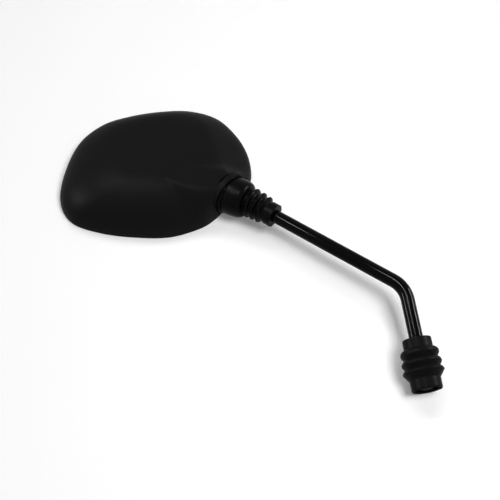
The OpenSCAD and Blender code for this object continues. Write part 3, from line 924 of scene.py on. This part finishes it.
@dataclass
class Arm:
    """The bent rod, from its threaded foot to its ball."""

    layout: Layout
    rod_r: float = 5.0
    foot_z: float = 2.1
    thread_top: float = 19.5
    ball_r: float = 7.5
    ball_share: float = 0.84
    neck_r: float = 4.0
    neck_len: float = 14.0

    def build(self) -> None:
        """Builds the rod in one piece."""
        lay = self.layout
        arm_top = lay.arm_len - self.neck_len - self.rod_r
        path = [np.array([0.0, 0.0, self.thread_top]), lay.corner,
                lay.corner + lay.arm_dir * arm_top]
        bar = BentRod(self.rod_r, lay.bend_r).tree(Finishes.ROD).build(
            "rod_bar", Finishes.ROD, path)
        sweep = [(self.ball_r * math.cos(a), self.ball_r * math.sin(a))
                 for a in np.linspace(-math.pi / 2, math.asin(self.ball_share), 40)]
        sweep[0] = (0.0, -self.ball_r)
        neck = [(self.neck_r, self.ball_r), (self.neck_r, self.neck_len - 1.0),
                (self.rod_r, self.neck_len + self.rod_r)]
        ball = lay.arm.turned("rod_ball", sweep + rounded(neck, 2.0), Finishes.ROD)
        foot = Base(lay).thread("rod_thread", self.foot_z, self.thread_top, Finishes.BLACK_STEEL)
        rod = join_meshes("rod_dressed", [bar, ball, foot])
        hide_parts("rod")
        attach(rod, "arm")
        log.info("arm: rod built")


@dataclass
class Head:
    """The housing, its glass and the neck boot."""

    layout: Layout
    head_w: float = 152.6
    head_h: float = 117.7
    depth: float = 37.0
    rim_y: float = -18.5
    shy: float = 0.14
    rim_edge: float = 0.7
    wall: float = 2.5
    face_slope: float = 0.2
    crease_soft: float = 0.9
    face_drop: float = 0.3
    hump_soft: float = 4.0
    hump_soft_spread: float = 45.0
    side_fullness: float = 2.1
    neck_fullness: float = 10.0
    neck_spread: float = 19.0
    inboard_spread: float = 12.0
    mouth_reach: float = 15.5
    mouth_r: float = 15.9
    lip_r: float = 17.6
    lip_floor: float = 11.0
    lip_edge: float = 0.6
    throat: tuple[float, float] = (9.9, 11.4)
    cut: tuple[float, float] = (9.0, 30.0)
    cut_play: float = 0.2
    foot_floor: float = 13.5
    collar_at: float = 51.09
    neck_bow: float = 1.4
    knot_steps: int = 14
    crown_steps: int = 56
    glass_t: float = 2.0
    glass_radius: float = 1200.0
    glass_recess: float = 0.4
    glass_gap: float = 0.5
    glass_trim: float = 11.6
    rim_shape: tuple[tuple[float, float], ...] = (
        (-13.4, 18.9), (-14.3, 36.4), (-10.3, 54.3), (-1.7, 70.6), (12.6, 79.6), (28.9, 82.2),
        (45.5, 81.3), (60.4, 76.8), (73.4, 64.2), (81.9, 42.8), (85.5, 20.7), (80.5, 3.5),
        (66.9, -7.2), (50.3, -14), (32.8, -17.6), (17.4, -14.4), (8.9, -9), (0.3, 0.6),
        (-8.2, 10.1))
    crown_shape: tuple[float, float] = (34.0, 15.1)
    flank_blur: float = 6.0
    flank_power: float = 1.2
    flank_gain: float = 4.5
    flank_turns: tuple[float, ...] = (118.0, 132.0, 146.0, 163.0, 174.0, 181.0, 187.0, 194.0)
    flank_crease: tuple[float, ...] = (0.78, 0.73, 0.64, 0.62, 0.65, 0.72, 0.82, 0.93)
    flank_depth: tuple[float, ...] = (0.0, 1.0, 2.0, 2.8, 3.2, 3.2, 2.4, 0.0)

    @property
    def mouth(self) -> np.ndarray:
        """Middle of the mouth in the rim plane."""
        a = math.radians(self.layout.socket_angle)
        return self.mouth_reach * np.array([-math.cos(a), -math.sin(a)])

    def place(self, shape: np.ndarray) -> np.ndarray:
        """Outline values in percent as points in the rim plane."""
        return self.mouth + np.asarray(shape, float) * np.array([self.head_w, self.head_h]) * 0.01

    @property
    def crown(self) -> np.ndarray:
        """The back's crown in the rim plane."""
        return self.place(np.array(self.crown_shape))

    def rim(self) -> np.ndarray:
        """The rim's outline as a closed smooth curve."""
        knots = self.place(np.array(self.rim_shape))
        s = np.linspace(0, 1, self.knot_steps, endpoint=False)[:, None]
        out = []
        for i in range(len(knots)):
            a, b, c, d = (knots[(i + k) % len(knots)] for k in (-1, 0, 1, 2))
            out.append((2 * b + (c - a) * s + (2 * a - 5 * b + 4 * c - d) * s ** 2
                        + (3 * b - a - 3 * c + d) * s ** 3) / 2)
        return np.concatenate(out)

    @staticmethod
    def inset(points: np.ndarray, d: float) -> np.ndarray:
        """Moves each point of a clockwise outline inwards by d."""
        along = np.roll(points, -1, 0) - np.roll(points, 1, 0)
        along /= np.linalg.norm(along, axis=1)[:, None]
        return points + d * np.stack([along[:, 1], -along[:, 0]], 1)

    def fullness(self, d: np.ndarray) -> np.ndarray:
        """How full the back is in each direction from the crown.

        Args:
            d: Directions in the rim plane.

        Returns:
            The exponent of the back's section in each direction.
        """
        to_mouth = self.mouth - self.crown
        off = self.turn(d) - self.turn(to_mouth[None])
        hump = np.exp(-(off / np.where(off < 0, self.inboard_spread, self.neck_spread)) ** 2)
        return self.side_fullness + (self.neck_fullness - self.side_fullness) * hump

    def flank(self, d: np.ndarray, share: np.ndarray) -> np.ndarray:
        """How deep the hollow flank beyond the inboard crease lies below the round back.

        Args:
            d: Directions from the crown in the rim plane.
            share: Way from the crown to the rim, 0 to 1.

        Returns:
            The depth at each point.
        """
        near = self.turn(d) + np.linspace(-self.flank_blur, self.flank_blur, 7)[:, None]
        crease, depth = (np.interp(near, self.flank_turns, row).mean(0)
                         for row in (self.flank_crease, self.flank_depth))
        t = np.clip((share - crease) / (1 - crease), 0, 1)
        return depth * self.flank_gain * t ** self.flank_power * (1 - t)

    @staticmethod
    def turn(d: np.ndarray) -> np.ndarray:
        """Direction of each vector in the rim plane, in degrees from 0 to 360."""
        return np.degrees(np.arctan2(d[:, 1], d[:, 0])) % 360

    def inside(self, height: float) -> np.ndarray:
        """Outline of the shell's inside wall at a height above the rim plane.

        Args:
            height: The height.

        Returns:
            The outline.
        """
        d = self.inset(self.rim(), self.wall) - self.crown
        full = self.fullness(d)
        share = (1 - (height / (self.depth - self.wall)) ** full) ** (1 / full)
        return self.crown + d * share[:, None]

    def sag(self, q: np.ndarray) -> np.ndarray:
        """How far the convex glass falls back at each point of its outline."""
        return self.glass_radius - np.sqrt(
            self.glass_radius ** 2 - np.sum((q - self.crown) ** 2, 1))

    def back(self, rim: np.ndarray, angle: float, skin: float) -> np.ndarray:
        """One ring of the back, in the head's frame.

        Args:
            rim: The outline that the ring belongs to.
            angle: Angle from the rim, 0, to the crown, a quarter turn, in radians.
            skin: Depth below the outer skin.

        Returns:
            The ring's points.
        """
        crown = self.crown
        d = rim - crown
        p = 2 / self.fullness(d)
        share = math.cos(angle) ** p
        q = crown + d * share[:, None]
        height = (self.depth - skin) * math.sin(angle) ** p - self.flank(d, share)
        face = self.depth - self.face_drop - self.face_slope * (q[:, 1] - crown[1]) - skin
        off = self.turn(d) - self.turn((self.mouth - crown)[None])
        k = self.crease_soft + self.hump_soft * share * np.exp(
            -(off / self.hump_soft_spread) ** 2)
        height = np.minimum(height, face) - k * np.log1p(np.exp(-np.abs(height - face) / k))
        return np.stack([q[:, 0], self.rim_y + height, q[:, 1]], 1)

    def shell(self) -> bpy.types.Object:
        """The moulded back with its wall and rim.

        Returns:
            The shell, before its mouth is cut.
        """
        outer = self.inset(self.rim(), self.shy)
        inner = self.inset(outer, self.wall)
        n = len(outer)
        steps = np.linspace(0, math.pi / 2, self.crown_steps + 1)[:-1]
        rings = [self.back(outer, a, 0.0) for a in steps[::-1]]
        edge = self.rim_edge
        low = self.inset(outer, edge)
        mid = self.inset(outer, edge * 0.3)
        rim_rings = []
        for q, y in ((outer, edge), (mid, edge * 0.3), (low, 0.0),
                     (self.inset(inner, -edge), 0.0), (self.inset(inner, -edge * 0.3), edge * 0.3)):
            rim_rings.append(np.stack([q[:, 0], np.full(n, self.rim_y + y), q[:, 1]], 1))
        inside = [self.back(inner, a, self.wall) for a in steps[::3]]
        inside[0][:, 1] = self.rim_y + edge
        rings = rings[:-1] + rim_rings + inside
        top = self.back(outer[:1], math.pi / 2, 0.0)
        under = self.back(inner[:1], math.pi / 2, self.wall)
        points = np.concatenate(rings + [top, under])
        m = len(rings)
        faces: list[Sequence[int]] = list(grid_faces(m, n))
        faces += [(i, (i + 1) % n, m * n) for i in range(n)]
        faces += [((m - 1) * n + (i + 1) % n, (m - 1) * n + i, m * n + 1) for i in range(n)]
        return mesh_object("shell", self.layout.head.put(points), faces, Finishes.HOUSING, 30.0)

    def housing(self) -> bpy.types.Object:
        """The housing: the shell with its mouth cut, and the lip and plate of the neck.

        Returns:
            The housing.
        """
        shell = self.shell()
        low, high = self.cut
        wide = self.mouth_r + self.cut_play
        cutter = self.layout.socket.turned(
            "cutter", [(0.0, low), (wide, low), (wide, high), (0.0, high)], Finishes.HOUSING)
        cut = shell.modifiers.new("mouth", "BOOLEAN")
        cut.operation = "DIFFERENCE"
        cut.solver = "EXACT"
        cut.object = cutter
        graph = bpy.context.evaluated_depsgraph_get()
        mesh = bpy.data.meshes.new_from_object(shell.evaluated_get(graph))
        shell.modifiers.clear()
        bpy.data.objects.remove(shell)
        bpy.data.objects.remove(cutter)
        shell = finish_object("shell", mesh, Finishes.HOUSING, 30.0)
        lip = self.layout.socket.turned("lip", rounded([
            (self.throat[0], self.lip_floor), (self.lip_r, self.lip_floor),
            (self.lip_r, self.mouth_reach), (self.mouth_r, self.mouth_reach),
            (self.mouth_r, self.foot_floor), (self.throat[1], self.foot_floor)],
            self.lip_edge, 5, True), Finishes.HOUSING, 128, closed=True)
        return join_meshes("housing_dressed", [shell, lip])

    def glass(self) -> bpy.types.Object:
        """The convex glass with its ground edge.

        Returns:
            The glass.
        """
        low = self.glass_recess + self.glass_t + float(self.sag(self.rim()).max())
        edge = self.inset(self.inside(low), self.glass_gap)
        a = math.radians(self.layout.socket_angle)
        flat = np.array([-math.cos(a), -math.sin(a)])
        over = np.maximum(edge @ flat - self.glass_trim, 0.0)
        edge = edge - over[:, None] * flat
        crown = self.crown
        n = len(edge)
        rings = []
        for share, depth in [(f, 0.0) for f in np.linspace(0.04, 0.97, 24)] + [
                (0.985, 0.0), (1.0, 0.6), (1.0, self.glass_t)] + [
                (f, self.glass_t) for f in (0.97, 0.5, 0.04)]:
            q = crown + (edge - crown) * share
            rings.append(np.stack([q[:, 0], self.rim_y + self.glass_recess + depth
                                   + self.sag(q), q[:, 1]], 1))
        m = len(rings)
        y = self.rim_y + self.glass_recess
        tips = np.array([[crown[0], y, crown[1]], [crown[0], y + self.glass_t, crown[1]]])
        points = np.concatenate(rings + [tips])
        faces: list[Sequence[int]] = list(grid_faces(m, n))
        faces += [((i + 1) % n, i, m * n) for i in range(n)]
        faces += [((m - 1) * n + i, (m - 1) * n + (i + 1) % n, m * n + 1) for i in range(n)]
        made = mesh_object("glass_dressed", self.layout.head.put(points), faces,
                           Finishes.SILVER, 20.0)
        made.data.materials.append(Finishes.GROUND_EDGE.material)
        centre_y = self.layout.head.y
        for face in made.data.polygons:
            front = np.array(face.normal) @ -centre_y
            if front < 0.9:
                face.material_index = 1
        return made

    def boot(self) -> bpy.types.Object:
        """The neck boot, along a path from the rod to the mouth.

        Returns:
            The boot.
        """
        lay = self.layout
        shape = Bellows(bore=5.05, collar_r=9.0, collar=5.8, lead=4.59, rings=3, step=5.4,
                        first_r=10.9, grow=0.45, depth=2.4, sharpness=1.2, tail=4.2, end_r=15.6,
                        plain=18.0, domed=1.0, dome_r=15.2, end_edge=0.4, groove=3.8, steps=380)
        foot, collar = self.foot_floor, self.collar_at
        span = collar - foot
        straight = [lay.ball - lay.arm_dir * d
                    for d in np.linspace(collar + shape.collar, collar, 8)]
        aside = np.cross(-lay.arm_dir, unit(np.cross(lay.socket.z, -lay.arm_dir)))
        bend = []
        for t in np.linspace(1, 0, 60)[1:]:
            u, v = t * t, t ** 3
            bend.append(lay.ball + (2 * v - 3 * u + 1) * lay.socket.z * foot
                        + (v - 2 * u + t) * lay.socket.z * span
                        - (3 * u - 2 * v) * lay.arm_dir * collar
                        - (v - u) * lay.arm_dir * span
                        - self.neck_bow * math.sin(math.pi * t) ** 1.5 * aside)
        path = straight + bend
        made = sum(float(np.linalg.norm(b - a)) for a, b in zip(path, path[1:]))
        shape.plain += made - shape.length
        return shape.tree(Finishes.NECK_RUBBER).build("neck_boot_dressed", Finishes.NECK_RUBBER,
                                                      path, wall=1.3)

    def build(self) -> None:
        """Builds the housing, the glass and the neck boot."""
        housing = self.housing()
        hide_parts("housing")
        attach(housing, "head")
        glass = self.glass()
        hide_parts("glass")
        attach(glass, "head")
        boot = self.boot()
        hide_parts("neck_boot")
        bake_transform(boot)
        log.info("head: housing, glass and neck boot built")


@dataclass
class Insides:
    """Small pieces that keep the solids' own meshes, and the joint's spring."""

    layout: Layout
    spring_ends: tuple[float, float] = (-13.4, -7.8)
    spring_r: float = 7.15
    spring_wire: float = 0.75
    spring_turns: float = 2.75
    finishes: dict[str, Finishes] = field(default_factory=lambda: {
        "lock_washer": Finishes.ZINC, "ball_seat": Finishes.BEARING,
        "pressure_cup": Finishes.BEARING, "clamp_plate": Finishes.ZINC,
        "clamp_screws": Finishes.ZINC, "carrier": Finishes.CARRIER,
        "carrier_screws": Finishes.ZINC, "glass_pad": Finishes.FOAM})

    def build(self) -> None:
        """Dresses the pieces and winds the spring."""
        for name, finish in self.finishes.items():
            node = frame["nodes"][name]
            node.data.materials.clear()
            node.data.materials.append(finish.material)
            log.info("dressed %s", name)
        socket = self.layout.socket
        low, high = self.spring_ends
        wire = self.spring_wire
        start = Place(socket.origin + socket.z * (low + wire), socket.x, socket.y, socket.z)
        spring = Coil(self.spring_r, high - low - 2 * wire, self.spring_turns, wire, 12, 64).tree(
            Finishes.SPRING).build("joint_spring_dressed", Finishes.SPRING, place=start)
        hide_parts("joint_spring")
        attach(spring, "head")
        log.info("insides: spring wound")


@dataclass(frozen=True)
class Lamp:
    """A rectangular lamp that faces the mirror, with its long side along the rod's lower leg.

    It stands in a direction by the camera's axes: right, up and back. Its level is how bright it
    shows a white face that is turned to it, 1 for white. It lights surfaces, is mirrored in them,
    or both.
    """

    name: str
    towards: tuple[float, float, float]
    size: tuple[float, float]
    level: float
    lights: bool = True
    mirrored: bool = True
    distance: float = 1.1

    @property
    def power(self) -> float:
        """Power in watts that gives the level."""
        return self.level * math.pi ** 2 * self.distance ** 2


@dataclass
class Studio:
    """The pale floor, the lights and the camera."""

    layout: Layout
    lens: float = 72.0
    floor_size: float = 4000.0
    corner_seen: tuple[float, float, float] = (110.33, -26.31, -712.0)
    right: tuple[float, float, float] = (-0.98751, 0.03038, -0.15461)
    up: tuple[float, float, float] = (-0.13508, 0.34199, 0.92994)
    rim_y: float = -18.5
    floor_gap: float = 0.03
    floor_colour: float = 0.88
    floor_glow: float = 0.16
    sky: float = 0.12
    aim: tuple[float, float, float] = (0.06, -0.01, 0.12)
    lamps: tuple[Lamp, ...] = (
        Lamp("key", (0.3, 0.22, 0.92), (0.4, 0.4), 0.75, mirrored=False),
        Lamp("top", (-0.12, 0.84, 0.53), (1.2, 0.3), 0.4, mirrored=False),
        Lamp("sheen", (-0.52, 0.7, 0.49), (0.16, 0.16), 0.6, lights=False),
        Lamp("arm_strip", (-0.48, 0.45, 0.75), (0.03, 0.09), 0.16, lights=False),
        Lamp("left_strip", (-0.948, 0.19, 0.253), (0.04, 0.5), 1.0, lights=False),
        Lamp("middle_strip", (-0.2, 0.52, 0.83), (0.03, 0.2), 0.45, lights=False),
        Lamp("right_strip", (0.851, 0.477, 0.219), (0.04, 0.5), 1.5, lights=False))

    @staticmethod
    def seen(path: Node) -> Socket:
        """1 for rays that show the background: straight, mirrored or through glass."""
        return (path.out("Is Camera Ray") + path.out("Is Glossy Ray")
                + path.out("Is Transmission Ray")).clamp()

    def axes(self) -> tuple[np.ndarray, np.ndarray, np.ndarray]:
        """The camera's right, up and back axes in the row frame."""
        right = unit(np.array(self.right))
        back = unit(np.cross(right, np.array(self.up)))
        return right, np.cross(back, right), back

    def camera(self) -> None:
        """Sets the camera so that the rod's bend falls where the photograph shows it."""
        right, up, back = self.axes()
        seen = self.corner_seen
        spot = self.layout.corner - seen[0] * right - seen[1] * up - seen[2] * back
        data = bpy.data.cameras.new("camera")
        data.lens = self.lens
        data.sensor_width = 36.0
        data.clip_start, data.clip_end = 0.01, 20.0
        data.dof.use_dof = False
        made = bpy.data.objects.new("camera", data)
        matrix = Matrix(np.stack([right, up, back], 1).tolist()).to_4x4()
        matrix.translation = Vector(spot * MM)
        made.matrix_world = matrix
        bpy.context.scene.collection.objects.link(made)
        bpy.context.scene.camera = made

    def floor(self) -> None:
        """The table that the rim and the base boot lie on, seen only from above."""
        head = self.layout.head
        level = self.rim_y - self.floor_gap
        n = head.y
        spot = head.origin + n * level
        half = self.floor_size / 2
        corners = [spot + a * half * head.x + b * half * head.z
                   for a, b in ((-1, -1), (-1, 1), (1, 1), (1, -1))]
        mesh = bpy.data.meshes.new("floor")
        mesh.from_pydata([tuple(c * MM) for c in corners], [], [(0, 1, 2, 3)])
        made = bpy.data.objects.new("floor", mesh)
        bpy.context.scene.collection.objects.link(made)
        material = bpy.data.materials.new("pale_floor")
        material.use_nodes = True
        tree = Tree(material.node_tree)
        material.node_tree.nodes.clear()
        path = tree.node("ShaderNodeLightPath")
        back = tree.node("ShaderNodeNewGeometry").out("Backfacing")
        tone = self.floor_colour
        matt = tree.node("ShaderNodeBsdfDiffuse", {}, {"Color": (tone, tone, tone, 1.0)})
        glow = tree.node("ShaderNodeEmission", {}, {"Color": (1.0, 1.0, 1.0, 1.0),
                                                    "Strength": self.seen(path) * self.floor_glow})
        lit = tree.node("ShaderNodeAddShader", {}, {0: matt, 1: glow})
        clear = tree.node("ShaderNodeBsdfTransparent")
        hidden = (back + path.out("Is Shadow Ray")).clamp()
        both = tree.node("ShaderNodeMixShader", {}, {0: hidden, 1: lit, 2: clear})
        tree.node("ShaderNodeOutputMaterial", {}, {"Surface": both})
        mesh.materials.append(material)

    def light(self, lamp: Lamp) -> None:
        """Adds one lamp.

        Args:
            lamp: The lamp.
        """
        data = bpy.data.lights.new(lamp.name, "AREA")
        data.shape = "RECTANGLE"
        data.size, data.size_y = lamp.size
        data.energy = lamp.power
        away = unit(np.array(lamp.towards) @ np.stack(self.axes()))
        across = unit(np.cross(self.layout.stud.z, away))
        matrix = Matrix(np.stack([across, np.cross(away, across), away], 1).tolist()).to_4x4()
        matrix.translation = Vector(np.array(self.aim) + away * lamp.distance)
        made = bpy.data.objects.new(lamp.name, data)
        made.matrix_world = matrix
        made.visible_diffuse = lamp.lights
        made.visible_glossy = lamp.mirrored
        bpy.context.scene.collection.objects.link(made)

    def world(self) -> None:
        """A pale world: white where it is seen or mirrored, softer as a light."""
        world = bpy.data.worlds.new("studio")
        bpy.context.scene.world = world
        world.use_nodes = True
        tree = Tree(world.node_tree)
        world.node_tree.nodes.clear()
        path = tree.node("ShaderNodeLightPath")
        strength = self.seen(path).mix(self.sky, 1.0)
        sky = tree.node("ShaderNodeBackground", {}, {"Color": (1.0, 1.0, 1.0, 1.0),
                                                     "Strength": strength})
        tree.node("ShaderNodeOutputWorld", {}, {"Surface": sky})

    def build(self) -> None:
        """Sets the stage."""
        self.camera()
        self.floor()
        self.world()
        for lamp in self.lamps:
            self.light(lamp)
        bpy.context.scene.view_settings.view_transform = "Standard"
        log.info("studio: camera, floor and lights set")


def main() -> None:
    """Builds the mirror and its studio."""
    logging.basicConfig(level=logging.INFO, format="%(name)s: %(message)s")
    layout = Layout()
    Base(layout).build()
    Arm(layout).build()
    Head(layout).build()
    Insides(layout).build()
    Studio(layout).build()


if __name__ == "__main__":
    main()
